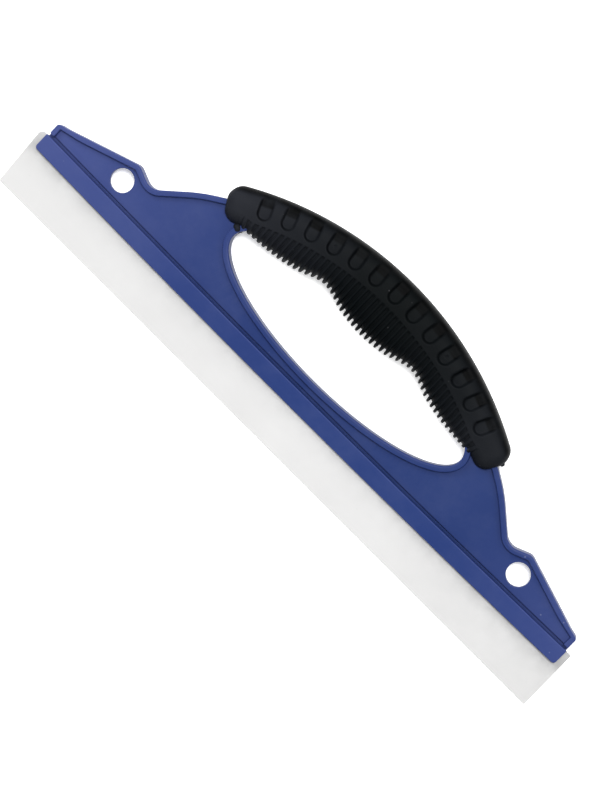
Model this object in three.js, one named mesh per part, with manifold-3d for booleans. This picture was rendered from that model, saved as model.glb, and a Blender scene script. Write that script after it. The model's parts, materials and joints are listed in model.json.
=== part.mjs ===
// A 305 mm water-blade squeegee: a flat moulded frame with a hand opening, a soft silicone blade clamped along
// its lower edge by a front strip and seven screws from behind, and a ribbed rubber grip moulded round the handle.
//
// Everything is drawn in the tool frame, in millimetres: X along the blade, Y from the blade's free edge (0)
// towards the handle, Z through the thickness with the front at +Z and the blade's mid-plane at 0.
// The last lines lean the tool about X until it lies on a flat surface on its grip's back and its blade's edge.
import * as THREE from "three";
import { mergeVertices } from "three/addons/utils/BufferGeometryUtils.js";
import Module from "manifold-3d";

// ---- Driving dimensions ---------------------------------------------------------------------------------------
const FRAME_HALF = 151.9; // half the plate's length
const BAR_HALF = 152.4; // half the length of the clamp strip and of the jaw behind it
const ARCH_RISE = 1.65; // how much higher the bar's ends are than its middle
const RIM_Z = 4.0; // half the plate's thickness at its rims
const WEB_Z = 1.25; // half the thickness of the recessed web
const JAW_Z = 4.2; // half the thickness over the two jaws
const RIM_WIDTH = 2.4; // rim round the plate's edge
const HAND_RIM = 2.6; // rim round the hand opening

const STRIP_BOTTOM = 19.35; // heights at mid-length; each follows the arch towards the ends
const STRIP_TOP = 27.05;
const BLADE_TOP = 26.4;
const SHOULDER = 27.2; // where the plate begins above the blade
const GROOVE_TOP = 28.4; // the shadow groove between the strip and the web
const GROOVE_FLOOR_Z = 0.45;
const REAR_JAW_TOP = 30.0;
const SLOT_Z = 1.35; // half the slot that holds the blade

const HAND = { y: 53.4, a: 66.1, b: 20 }; // the hand opening is an ellipse
const HANG = { x: 116.3, y: 36.7, r: 5.2 }; // the two hanging holes

const BLADE_Z = 1.2; // half the blade's thickness at its root
const EDGE_Z = 0.8; // half its thickness at the working edge
const BLADE_LONG = 160; // half the length of the strip that the blade is cut from
// The blade was cut off slightly aslant, and one upper corner was snipped: its outline as [x, y], beyond its own height.
const BLADE_CUT = [
  [-154.1, -5],
  [-155.9, 26.6],
  [-154.3, 28],
  [-154.3, 35],
  [155.1, 35],
  [156.1, -5],
];
const ROOT_BOTTOM = 19.3; // the clamped root ends here
const FLEX_Y = 17.8; // the line that the free part of the blade bends about

const SCREW = { y: 23.2, pitch: 48, count: 7, shank: 1.1, hole: 1.4, head: 2.3, bore: 2.7 };
const HEAD_SEAT_Z = -2.4; // floor of the counterbore in the rear jaw
const HEAD_UNDER_Z = -2.55;
const HEAD_TOP_Z = -4.0;
const SHANK_TIP_Z = 3.15;
const PILOT_END_Z = 3.45; // the pilot holes stop inside the strip

const ARC_Y = -66.3; // centre of the grip's arc
const GRIP_R = 158; // the grip's back, from that centre
const WAIST_R = 144.4; // where the section is widest
const GRIP_END = THREE.MathUtils.degToRad(31.8); // each end lies on a radius at this angle
const GRIP_Z = 10.2; // half the grip's depth at mid-length
const GRIP_END_Z = 8.3; // half its depth at each end
const FINGER_SHARE = 0.94; // the finger side is this much shallower, between the ribs
const END_ROUND = 4; // rounding of each end
const GAP = 0.3; // clearance round the handle core

const GROOVES = { count: 13, pitch: THREE.MathUtils.degToRad(4.13), width: 5.6, low: 146.2, top: 156.4, depth: 0.75 };
const RIBS = { count: 51, pitch: 2.6, thick: 0.9, proud: 0.4 };
const ANCHORS = { spacing: 25, count: 5, r: 146.2, hole: 2.0, plug: 1.7 }; // rubber keys through the handle core

// The grip's finger side between the ribs, and the ribs' tips, from one end to the middle; the rest mirrors them.
const FINGER_SIDE = [
  [-73.25, 55.4],
  [-66, 58.6],
  [-58, 59.2],
  [-48, 60.7],
  [-37, 63.5],
  [-25.5, 66.9],
  [-13, 64.4],
  [0, 63.2],
];
const RIB_TIPS = [
  [-64, 58],
  [-50, 58.8],
  [-38, 61.1],
  [-25.5, 65.3],
  [-12, 61.9],
  [0, 60.8],
];

// The plate's edge from the slot up to the middle of the handle: corner x, corner y, rounding radius.
const PLATE_EDGE = [
  [-FRAME_HALF, 24, 0],
  [-FRAME_HALF, 34.75, 2.2], // end
  [-114.8, 46.7, 3], // shoulder over the hanging hole
  [-104.8, 42.5, 8.5], // thumb notch
  [-88.5, 56.7, 70], // neck
  [0, 110.7, 146], // back of the handle, one long arc
];

// ---- Manifold helpers -----------------------------------------------------------------------------------------
const wasm = await Module();
wasm.setup();

// A closed three.js geometry as a manifold solid.
function solid(geometry) {
  const bare = geometry.clone();
  bare.deleteAttribute("normal");
  bare.deleteAttribute("uv");
  const merged = mergeVertices(bare, 1e-4);
  const triVerts = new Uint32Array(merged.index.array);
  return new wasm.Manifold(
    new wasm.Mesh({ numProp: 3, vertProperties: merged.attributes.position.array, triVerts }),
  );
}

// A manifold solid as a three.js geometry.
function geometryOf(manifold) {
  const mesh = manifold.getMesh();
  const geometry = new THREE.BufferGeometry();
  geometry.setAttribute("position", new THREE.BufferAttribute(new Float32Array(mesh.vertProperties), 3));
  geometry.setIndex(new THREE.BufferAttribute(new Uint32Array(mesh.triVerts), 1));
  geometry.computeVertexNormals();
  return geometry;
}

const union = (solids) => solids.reduce((sum, next) => sum.add(next));

// ---- Shape helpers --------------------------------------------------------------------------------------------
// A flat shape pushed through from z0 to z1.
function prism(shape, z0, z1, curveSegments = 6) {
  const geometry = new THREE.ExtrudeGeometry(shape, { depth: z1 - z0, bevelEnabled: false, curveSegments });
  return solid(geometry.translate(0, 0, z0));
}

// A round pin or hole cutter along Z.
function rod(x, y, radius, z0, z1, sides = 12) {
  const geometry = new THREE.CylinderGeometry(radius, radius, z1 - z0, sides);
  return solid(geometry.rotateX(Math.PI / 2).translate(x, y, (z0 + z1) / 2));
}

function slab(x0, x1, y0, y1, z0, z1) {
  const geometry = new THREE.BoxGeometry(x1 - x0, y1 - y0, z1 - z0);
  return solid(geometry.translate((x0 + x1) / 2, (y0 + y1) / 2, (z0 + z1) / 2));
}

function ellipse(y, a, b) {
  return new THREE.Shape().absellipse(0, y, a, b, 0, 2 * Math.PI);
}

// How far the bar has risen at x: the sagitta of one wide arc.
const ARCH_R = BAR_HALF ** 2 / (2 * ARCH_RISE);
const arch = (x) => ARCH_R - Math.sqrt(ARCH_R ** 2 - x ** 2);

// A long band whose lower and upper edges are straight or follow the arch.
function band(half, low, high, z0, z1, lowArched = true) {
  const turn = Math.asin(half / ARCH_R);
  const down = -Math.PI / 2;
  const shape = new THREE.Shape();
  if (lowArched) {
    shape.absarc(0, low + ARCH_R, ARCH_R, down - turn, down + turn, false);
  } else {
    shape.moveTo(-half, low).lineTo(half, low);
  }
  shape.absarc(0, high + ARCH_R, ARCH_R, down + turn, down - turn, true);
  return prism(shape, z0, z1);
}

// A half outline of [x, y, radius] corners that ends on the mirror line, as a whole clockwise outline.
function mirrored(half) {
  const other = half.slice(0, -1).map(([x, y, r]) => [-x, y, r]);
  return [...half, ...other.reverse()];
}

// The outline moved inwards by d (outwards if negative): each side shifts, and each rounding keeps its centre.
function inset(corners, d) {
  const at = (i) => new THREE.Vector2(...corners[(i + corners.length) % corners.length]);
  const shifted = (i) => {
    const direction = at(i + 1).sub(at(i)).normalize();
    const inwards = new THREE.Vector2(direction.y, -direction.x);
    return { point: at(i).addScaledVector(inwards, d), direction };
  };
  return corners.map(([, , radius], i) => {
    const before = shifted(i - 1);
    const after = shifted(i);
    const across = before.direction.cross(after.direction);
    const reach = after.point.clone().sub(before.point).cross(after.direction) / across;
    const corner = before.point.addScaledVector(before.direction, reach);
    const rounding = across < 0 ? Math.max(radius - d, 0) : radius + d;
    return [corner.x, corner.y, radius ? rounding : 0];
  });
}

// A closed shape through the corners, each rounded with its own radius.
function rounded(corners) {
  const shape = new THREE.Shape();
  const at = (i) => new THREE.Vector2(...corners[(i + corners.length) % corners.length]);
  corners.forEach(([, , radius], i) => {
    const into = at(i).sub(at(i - 1)).normalize();
    const away = at(i + 1).sub(at(i)).normalize();
    const turn = Math.atan2(into.cross(away), into.dot(away));
    const start = at(i).addScaledVector(into, -radius * Math.tan(Math.abs(turn) / 2));
    if (i === 0) shape.moveTo(start.x, start.y);
    else shape.lineTo(start.x, start.y);
    if (radius > 0) {
      const side = Math.sign(turn);
      const centre = start.clone().add(new THREE.Vector2(-into.y, into.x).multiplyScalar(side * radius));
      const from = Math.atan2(start.y - centre.y, start.x - centre.x);
      shape.absarc(centre.x, centre.y, radius, from, from + turn, turn < 0);
    }
  });
  return shape;
}

// A closed body through rings of points, every ring with the same count, capped at both ends.
function loft(rings) {
  const size = rings[0].length;
  const points = rings.flat();
  const faces = [];
  for (let k = 0; k + 1 < rings.length; k++) {
    for (let i = 0; i < size; i++) {
      const [a, b] = [k * size + i, k * size + ((i + 1) % size)];
      faces.push(a, b + size, b, a, a + size, b + size);
    }
  }
  [[0, true], [rings.length - 1, false]].forEach(([k, first]) => {
    const middle = rings[k].reduce((sum, p) => sum.add(p), new THREE.Vector3()).divideScalar(size);
    points.push(middle);
    for (let i = 0; i < size; i++) {
      const [a, b] = [k * size + i, k * size + ((i + 1) % size)];
      faces.push(points.length - 1, ...(first ? [a, b] : [b, a]));
    }
  });
  const geometry = new THREE.BufferGeometry().setFromPoints(points);
  return solid(geometry.setIndex(faces));
}

// ---- The frame ------------------------------------------------------------------------------------------------
const screwPlaces = Array.from({ length: SCREW.count }, (_, i) => {
  const x = (i - (SCREW.count - 1) / 2) * SCREW.pitch;
  return [x, SCREW.y + arch(x)];
});

const anchorPlaces = Array.from({ length: ANCHORS.count }, (_, i) => {
  const x = (i - (ANCHORS.count - 1) / 2) * ANCHORS.spacing;
  return [x, ARC_Y + Math.sqrt(ANCHORS.r ** 2 - x ** 2)];
});

// The recess on one face: inside the rims, above the bar, and stopping under the grip.
function recess(z0, z1, barTop) {
  const underGrip = slab(-73.5, 73.5, 58.8, 120, z0, z1);
  return prism(rounded(inset(mirrored(PLATE_EDGE), RIM_WIDTH)), z0, z1)
    .subtract(prism(ellipse(HAND.y, HAND.a + HAND_RIM, HAND.b + HAND_RIM), z0, z1, 16))
    .subtract(band(BAR_HALF + 5, 0, barTop, z0, z1))
    .subtract(underGrip);
}

function makeFrame() {
  const over = JAW_Z + 1;
  const plate = prism(rounded(mirrored(PLATE_EDGE)), -RIM_Z, RIM_Z);
  const rearJaw = band(BAR_HALF, STRIP_BOTTOM, REAR_JAW_TOP, -JAW_Z, -SLOT_Z);
  const handHole = prism(ellipse(HAND.y, HAND.a, HAND.b), -over, over, 16);
  const hangHoles = [-HANG.x, HANG.x].map((x) => rod(x, HANG.y, HANG.r, -over, over, 24));
  const screwHoles = screwPlaces.map(([x, y]) => rod(x, y, SCREW.hole, -over, 0));
  const counterbores = screwPlaces.map(([x, y]) => rod(x, y, SCREW.bore, -over, HEAD_SEAT_Z));
  const anchorHoles = anchorPlaces.map(([x, y]) => rod(x, y, ANCHORS.hole, -over, over));
  return plate
    .subtract(band(BAR_HALF + 5, 0, SHOULDER, -RIM_Z - 1, over))
    .subtract(band(BAR_HALF + 5, 0, GROOVE_TOP, GROOVE_FLOOR_Z, over))
    .subtract(recess(WEB_Z, over, GROOVE_TOP))
    .add(rearJaw)
    .subtract(recess(-over, -WEB_Z, REAR_JAW_TOP))
    .subtract(union([handHole, ...hangHoles, ...screwHoles, ...counterbores, ...anchorHoles]));
}

// ---- The clamp strip, the blade and the screws ------------------------------------------------------------------
function makeClampStrip() {
  const pilotHoles = screwPlaces.map(([x, y]) => rod(x, y, SCREW.hole, 0, PILOT_END_Z));
  return band(BAR_HALF, STRIP_BOTTOM, STRIP_TOP, SLOT_Z, JAW_Z).subtract(union(pilotHoles));
}

const bladeCut = () => prism(new THREE.Shape(BLADE_CUT.map(([x, y]) => new THREE.Vector2(x, y))), -3, 3);

function makeBladeRoot() {
  const holes = screwPlaces.map(([x, y]) => rod(x, y, SCREW.hole, -2, 2));
  const strip = band(BLADE_LONG, ROOT_BOTTOM, BLADE_TOP, -BLADE_Z, BLADE_Z, false);
  return strip.intersect(bladeCut()).subtract(union(holes));
}

// The free part: a round shoulder about the bending line, thinner at the working edge.
function makeBladeLip() {
  const profile = new THREE.Shape(); // drawn as (-z, y), then turned to run along X
  profile.moveTo(-EDGE_Z, 0).lineTo(EDGE_Z, 0);
  profile.absarc(0, FLEX_Y, BLADE_Z, 0, Math.PI, false);
  const depth = 2 * BLADE_LONG;
  const geometry = new THREE.ExtrudeGeometry(profile, { depth, bevelEnabled: false, curveSegments: 4 });
  return solid(geometry.translate(0, 0, -BLADE_LONG).rotateY(Math.PI / 2)).intersect(bladeCut());
}

function makeScrew([x, y]) {
  const profile = [
    [0, HEAD_TOP_Z],
    [SCREW.head - 0.5, HEAD_TOP_Z],
    [SCREW.head, HEAD_TOP_Z + 0.5],
    [SCREW.head, HEAD_UNDER_Z],
    [SCREW.shank, HEAD_UNDER_Z],
    [SCREW.shank, SHANK_TIP_Z - 1],
    [0, SHANK_TIP_Z],
  ].map(([radius, z]) => new THREE.Vector2(radius, z));
  const body = solid(new THREE.LatheGeometry(profile, 12).rotateX(Math.PI / 2));
  const long = 1.3; // cross recess, half its length and half its width
  const thin = 0.25;
  const cross = union([
    slab(-long, long, -thin, thin, HEAD_TOP_Z - 1, HEAD_TOP_Z + 0.9),
    slab(-thin, thin, -long, long, HEAD_TOP_Z - 1, HEAD_TOP_Z + 0.9),
  ]);
  return body.subtract(cross).translate([x, y, 0]);
}

// ---- The grip -------------------------------------------------------------------------------------------------
function mirroredCurve(half) {
  const whole = mirrored(half.map(([x, y]) => [x, y, 0]));
  return new THREE.SplineCurve(whole.map(([x, y]) => new THREE.Vector2(x, y)));
}

const fingerSide = mirroredCurve(FINGER_SIDE);
const ribTips = mirroredCurve(RIB_TIPS);

// The curve's height over x, found by halving.
function heightAt(curve, x) {
  let t = 0.5;
  for (let step = 0.25; step > 1e-4; step /= 2) {
    t += Math.sign(x - curve.getPoint(t).x) * step;
  }
  return curve.getPoint(t).y;
}

const squared = (value) => Math.sign(value) * Math.abs(value) ** 0.62;

// One section as (height over the waist, depth): squared off over the back, elliptical on the finger side.
function sectionPoints(rise, drop, depth, fingerDepth, sides = 12) {
  return Array.from({ length: sides }, (_, i) => {
    const angle = (2 * Math.PI * i) / sides;
    const [c, s] = [Math.cos(angle), Math.sin(angle)];
    return s >= 0 ? [rise * squared(s), depth * squared(c)] : [drop * s, fingerDepth * c];
  });
}

// The grip is deepest at mid-length, so that its back lies flat on a table.
const depthAt = (angle) => THREE.MathUtils.lerp(GRIP_Z, GRIP_END_Z, (angle / GRIP_END) ** 2);

// The grip's solid, every surface moved inwards by d.
function gripBody(d) {
  const steps = 32;
  const rings = [];
  for (let k = 0; k <= steps; k++) {
    const foot = fingerSide.getPoint(k / steps);
    const angle = Math.atan2(foot.x, foot.y - ARC_Y);
    const low = Math.hypot(foot.x, foot.y - ARC_Y);
    const toEnd = Math.min((GRIP_END - Math.abs(angle)) * WAIST_R, END_ROUND);
    const closing = d + END_ROUND - Math.sqrt(Math.max(END_ROUND ** 2 - (END_ROUND - toEnd) ** 2, 0));
    const rise = GRIP_R - WAIST_R - closing;
    const drop = WAIST_R - low - closing;
    const depth = depthAt(angle);
    rings.push(
      sectionPoints(rise, drop, depth - closing, depth * FINGER_SHARE - closing).map(([height, z]) => {
        const r = WAIST_R + height;
        return new THREE.Vector3(r * Math.sin(angle), ARC_Y + r * Math.cos(angle), z);
      }),
    );
  }
  return loft(rings);
}

// The slots on both faces, each with a round lower end, down to the groove's depth. They stop short of the back.
function gripGrooves() {
  const half = GROOVES.width / 2;
  const shape = new THREE.Shape();
  shape.absarc(0, GROOVES.low + half, half, Math.PI, 2 * Math.PI, false);
  shape.lineTo(half, GROOVES.top).lineTo(-half, GROOVES.top);
  const slots = Array.from({ length: GROOVES.count }, (_, i) => {
    const turn = ((i - (GROOVES.count - 1) / 2) * GROOVES.pitch * 180) / Math.PI;
    return prism(shape, -GRIP_Z - 2, GRIP_Z + 2, 4).rotate([0, 0, -turn]).translate([0, ARC_Y, 0]);
  });
  return union(slots).subtract(gripBody(GROOVES.depth));
}

// One rib across the finger side, a thin plate that follows the section below the waist.
function rib(x) {
  const waist = ARC_Y + Math.sqrt(WAIST_R ** 2 - x ** 2);
  const depth = depthAt(Math.asin(x / WAIST_R)) * FINGER_SHARE;
  const drop = waist - heightAt(ribTips, x);
  const outline = sectionPoints(0.5, drop, depth, depth + RIBS.proud, 8);
  const shape = new THREE.Shape(outline.map(([up, z]) => new THREE.Vector2(-z, waist + up)));
  const geometry = new THREE.ExtrudeGeometry(shape, { depth: RIBS.thick, bevelEnabled: false });
  return solid(geometry.translate(0, 0, -RIBS.thick / 2).rotateY(Math.PI / 2).translate(x, 0, 0));
}

function makeGrip() {
  const ribs = Array.from({ length: RIBS.count }, (_, i) => rib((i - (RIBS.count - 1) / 2) * RIBS.pitch));
  const half = RIM_Z + GAP;
  const keys = anchorPlaces.map(([x, y]) => rod(x, y, ANCHORS.plug, -half - 1, half + 1));
  const core = prism(rounded(inset(mirrored(PLATE_EDGE), -GAP)), -half, half)
    .subtract(prism(ellipse(HAND.y, HAND.a - GAP, HAND.b - GAP), -half, half, 16))
    .subtract(union(keys));
  return gripBody(0).subtract(gripGrooves()).add(union(ribs)).subtract(core);
}

// ---- Assembly -------------------------------------------------------------------------------------------------
const bluePlastic = () => new THREE.MeshStandardMaterial({ color: 0x3d4f92, roughness: 0.42, metalness: 0 });
const silicone = () => new THREE.MeshStandardMaterial({ color: 0xeceded, roughness: 0.5, metalness: 0 });
const blackRubber = () => new THREE.MeshStandardMaterial({ color: 0x222429, roughness: 0.65, metalness: 0 });
const steel = () => new THREE.MeshStandardMaterial({ color: 0xb4b7ba, roughness: 0.35, metalness: 1 });

const tool = new THREE.Group();

function place(name, manifold, material) {
  const mesh = new THREE.Mesh(geometryOf(manifold), material);
  mesh.name = name;
  tool.add(mesh);
}

place("frame", makeFrame(), bluePlastic());
place("clamp_strip", makeClampStrip(), bluePlastic());
place("blade_root", makeBladeRoot(), silicone());
place("blade_lip", makeBladeLip(), silicone());
place("grip", makeGrip(), blackRubber());
screwPlaces.forEach((spot, i) => place(`screw_${i + 1}`, makeScrew(spot), steel()));

// The steepest line from the blade's rear edge to any point of the grip's back is the angle that the tool leans by.
const back = tool.getObjectByName("grip").geometry.attributes.position;
let lean = 0;
for (let i = 0; i < back.count; i++) {
  lean = Math.max(lean, Math.atan2(-EDGE_Z - back.getZ(i), back.getY(i)));
}
tool.rotation.x = lean;

// The origin is under the middle of the leaned tool, on the surface that it lies on.
const part = new THREE.Group();
part.add(tool);
part.updateMatrixWorld(true);
const box = new THREE.Box3().setFromObject(part, true);
tool.position.set(0, -(box.min.y + box.max.y) / 2, -box.min.z);

export default part;
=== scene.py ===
# %% [markdown]
# # A water-blade squeegee
# A flat blue plastic frame carries a soft silicone blade along one edge and a black rubber grip along the other.
# The solids that the physics uses are already packed, and this script dresses them: each one is replaced by a finer
# surface in the same place. Nearly every surface below is one idea used again: a profile carried along a path.

# %% Tools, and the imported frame
import json
import math

import bmesh
import bpy
import numpy as np
from mathutils import Matrix, Vector
from mathutils.geometry import delaunay_2d_cdt


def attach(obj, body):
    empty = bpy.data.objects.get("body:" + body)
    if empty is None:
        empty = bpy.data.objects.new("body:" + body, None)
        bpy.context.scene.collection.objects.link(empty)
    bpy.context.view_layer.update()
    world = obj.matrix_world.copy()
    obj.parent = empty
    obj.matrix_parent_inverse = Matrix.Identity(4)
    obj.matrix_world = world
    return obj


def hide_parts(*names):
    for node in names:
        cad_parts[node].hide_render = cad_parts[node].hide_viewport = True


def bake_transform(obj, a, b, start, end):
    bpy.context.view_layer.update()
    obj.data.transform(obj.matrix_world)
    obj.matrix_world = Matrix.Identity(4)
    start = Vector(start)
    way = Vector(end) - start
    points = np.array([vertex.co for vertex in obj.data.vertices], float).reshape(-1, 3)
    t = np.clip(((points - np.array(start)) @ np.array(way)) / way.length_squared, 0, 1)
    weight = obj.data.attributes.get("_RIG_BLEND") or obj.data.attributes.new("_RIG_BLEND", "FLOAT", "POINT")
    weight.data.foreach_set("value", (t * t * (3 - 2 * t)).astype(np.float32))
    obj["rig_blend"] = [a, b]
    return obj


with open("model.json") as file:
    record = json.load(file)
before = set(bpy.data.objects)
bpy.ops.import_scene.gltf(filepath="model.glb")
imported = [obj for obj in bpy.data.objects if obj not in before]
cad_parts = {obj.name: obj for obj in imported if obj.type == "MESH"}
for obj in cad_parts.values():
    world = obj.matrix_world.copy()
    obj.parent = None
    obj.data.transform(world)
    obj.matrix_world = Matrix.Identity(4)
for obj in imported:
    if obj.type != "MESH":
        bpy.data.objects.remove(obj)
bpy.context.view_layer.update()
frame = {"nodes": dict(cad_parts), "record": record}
print("solids:", ", ".join(sorted(frame["nodes"])))

# %% [markdown]
# ## The tool's own plane
# The tool lies leaning on its grip, so its parts are turned a few degrees away from the table's axes. It is far
# easier to draw them in the tool's own plane, in millimetres: x along the blade, y from the blade's free edge to the
# grip, z out of the front. The turn and the shift between the two are read back from one mount of the record, whose
# place in the tool's plane is known.

# %% From the tool's plane to the table
STRIP_FRONT = np.array([24.0, 23.6, 4.2])  # the mount strip_front, in the tool's plane

mount = next(m for m in frame["record"]["mounts"] if m["name"] == "strip_front")
LEAN = math.atan2(-mount["axis"][1], mount["axis"][2])
TURN = np.array([[1, 0, 0], [0, math.cos(LEAN), -math.sin(LEAN)], [0, math.sin(LEAN), math.cos(LEAN)]])
SHIFT = np.array(mount["pos_m"]) - TURN @ STRIP_FRONT / 1000


def on_table(points):
    """Millimetres in the tool's plane to metres on the table: turned by the lean, then shifted."""
    return np.asarray(points) @ TURN.T / 1000 + SHIFT


print(f"the tool leans by {math.degrees(LEAN):.2f} degrees")

# %% [markdown]
# ## Turning arrays into meshes
# A grid of points becomes quads by joining each point to its neighbours. Where the grid closes on itself, the last
# row or column joins the first. Each point also carries a number called edge, from 0 to 1, which tells the material
# where its second colour goes. On the blue pieces that is a pale line along a rounded edge: a painted highlight, which
# also stands for the wear that handling leaves. On the blade and the grip it is painted shade: the darker tone beside
# the bar, at the blade's right end, in the grooves, over the grip's back and between its ribs.


# %% Mesh helpers
def grid_faces(rows, columns, close_rows=False, close_columns=False, first=0):
    """Quads between neighbouring points of a grid stored row by row, as indices that start at first."""
    r = np.arange(rows if close_rows else rows - 1)[:, None]
    c = np.arange(columns if close_columns else columns - 1)[None, :]
    r2, c2 = (r + 1) % rows, (c + 1) % columns
    corners = [r * columns + c, r * columns + c2, r2 * columns + c2, r2 * columns + c]
    return np.stack(corners, -1).reshape(-1, 4) + first


def make_object(name, points, faces, edge=None, smooth_angle=35.0):
    """A mesh object from points in the tool's plane, with its faces turned outwards."""
    mesh = bpy.data.meshes.new(name)
    mesh.from_pydata(on_table(points), [], faces)
    if edge is not None:
        mesh.attributes.new("edge", "FLOAT", "POINT").data.foreach_set("value", np.ravel(edge).astype(np.float32))
    work = bmesh.new()
    work.from_mesh(mesh)
    bmesh.ops.recalc_face_normals(work, faces=work.faces)
    work.to_mesh(mesh)
    work.free()
    mesh.shade_smooth()
    mesh.set_sharp_from_angle(angle=math.radians(smooth_angle))
    piece = bpy.data.objects.new(name, mesh)
    bpy.context.scene.collection.objects.link(piece)
    return piece


def even_shading(piece):
    """Weighted normals keep big flats flat where they run into a rounded edge."""
    modifier = piece.modifiers.new("even_shading", "WEIGHTED_NORMAL")
    modifier.keep_sharp = True
    modifier.weight = 100


# %% [markdown]
# ## Outlines
# The plate's edge is given as a few corners, each with a rounding radius. Moving such an outline inwards by a small
# amount gives a second line that runs beside the first, point for point, and a rounded rim is only a stack of such
# lines at different heights. The ellipse of the hand opening and the round holes do the same with their own normals.


# %% Outline helpers
CORNER_STEPS = 10  # points on every rounded corner


def rounded_outline(corners, inset=0.0, steps=CORNER_STEPS):
    """A closed clockwise outline through corners (x, y, radius), moved inwards by inset.
    A moved corner is corner + inset * (n1 + n2) / (1 + n1.n2) for the normals n1, n2 of its sides, and the rounding
    is centre + (start - centre) turned by a growing share of the corner's angle."""
    xy, radius = corners[:, :2], corners[:, 2]
    ahead = np.roll(xy, -1, axis=0) - xy
    ahead = ahead / np.linalg.norm(ahead, axis=1, keepdims=True)
    behind = np.roll(ahead, 1, axis=0)
    n1, n2 = behind[:, ::-1] * [1, -1], ahead[:, ::-1] * [1, -1]
    corner = xy + inset * (n1 + n2) / (1 + (n1 * n2).sum(1, keepdims=True))
    turn = np.arctan2(behind[:, 0] * ahead[:, 1] - behind[:, 1] * ahead[:, 0], (behind * ahead).sum(1))
    moved = np.where(turn < 0, np.maximum(radius - inset, 0.12), radius + inset)
    reach = moved * np.tan(np.abs(turn) / 2)
    start = corner - behind * reach[:, None]
    left = np.stack([-behind[:, 1], behind[:, 0]], 1)
    centre = start + left * (np.sign(turn) * moved)[:, None]
    angle = turn[:, None] * np.linspace(0, 1, steps)[None, :]
    arm = start - centre
    x = centre[:, :1] + arm[:, :1] * np.cos(angle) - arm[:, 1:] * np.sin(angle)
    y = centre[:, 1:] + arm[:, :1] * np.sin(angle) + arm[:, 1:] * np.cos(angle)
    return np.stack([x, y], -1).reshape(-1, 2)


def spread(outline, spacing, closed=True):
    """Places along an outline, as fractional point numbers, no further apart than spacing."""
    line = np.vstack([outline, outline[:1]]) if closed else outline
    length = np.concatenate([[0], np.cumsum(np.linalg.norm(np.diff(line, axis=0), axis=1))])
    wanted = np.union1d(length, np.arange(0, length[-1], spacing))
    numbers = np.interp(wanted, length, np.arange(len(line)))
    numbers = numbers[np.concatenate([[True], np.diff(wanted) > 1e-3])]
    return numbers[numbers < len(line) - 1 - 1e-6] if closed else numbers


def at_places(outline, places):
    """The outline's points at fractional point numbers."""
    line = np.vstack([outline, outline[:1]])
    numbers = np.arange(len(line))
    return np.stack([np.interp(places, numbers, line[:, 0]), np.interp(places, numbers, line[:, 1])], 1)


def oval(centre, half_x, half_y, grow=0.0, count=160):
    """An ellipse moved outwards by grow along its own normals."""
    t = np.linspace(0, 2 * np.pi, count, endpoint=False)
    normal = np.stack([np.cos(t) * half_y, np.sin(t) * half_x], 1)
    normal /= np.linalg.norm(normal, axis=1, keepdims=True)
    return np.stack([half_x * np.cos(t), half_y * np.sin(t)], 1) + centre + normal * grow


ARCH_HALF, ARCH_RISE = 152.4, 1.65  # the bar's half length, and how much its ends rise above its middle
ARCH_RADIUS = ARCH_HALF**2 / (2 * ARCH_RISE)


def arch(x):
    """How far the bar has risen at x: one wide arc's radius minus the height of its chord."""
    return ARCH_RADIUS - np.sqrt(ARCH_RADIUS**2 - x**2)


def smoothstep(x):
    """0 below 0, 1 above 1, and 3x^2 - 2x^3 between."""
    x = np.clip(x, 0, 1)
    return x * x * (3 - 2 * x)


def arched(points):
    """Points lifted in y by the arch: fully up to y = 31, and by a share that falls to 0 at y = 36."""
    lifted = np.array(points, float)
    share = np.clip((36.0 - lifted[..., 1]) / 5.0, 0, 1)
    lifted[..., 1] += arch(np.clip(lifted[..., 0], -156, 156)) * share
    return lifted


# %% [markdown]
# ## Profiles and plates
# A profile is a short list of (inset, z, edge): how far in from the outline, how high, and how rounded it is there.
# A plate is the walls carried along each of its outlines, closed in front and behind by flat faces. Blender's
# Delaunay triangulation fills a flat with holes in one call.


# %% Profile and plate helpers
def rounding(radius, face_z, down, steps=6):
    """A quarter circle from a flat at face_z into a wall: inset = radius (1 - sin t), z = face_z - down * radius
    (1 - cos t), edge = sin 2t. down is 1 for a front face and -1 for a back one."""
    t = np.linspace(0, np.pi / 2, steps)
    return np.stack([radius * (1 - np.sin(t)), face_z - down * radius * (1 - np.cos(t)), np.sin(2 * t)], 1)


def slab_wall(front, back, front_radius, back_radius):
    """A plate's wall, from its front face round to its back face."""
    return np.vstack([rounding(front_radius, front, 1), rounding(back_radius, back, -1)[::-1]])


def carry(profile, path):
    """The profile carried along a path: one row of points per profile point. path(inset) gives the row's line."""
    lines = [path(inset) for inset in profile[:, 0]]
    rows = np.stack([np.column_stack([line, np.full(len(line), z)]) for line, z in zip(lines, profile[:, 1])])
    edge = np.repeat(profile[:, 2:3], rows.shape[1], axis=1)
    return rows, edge


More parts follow.
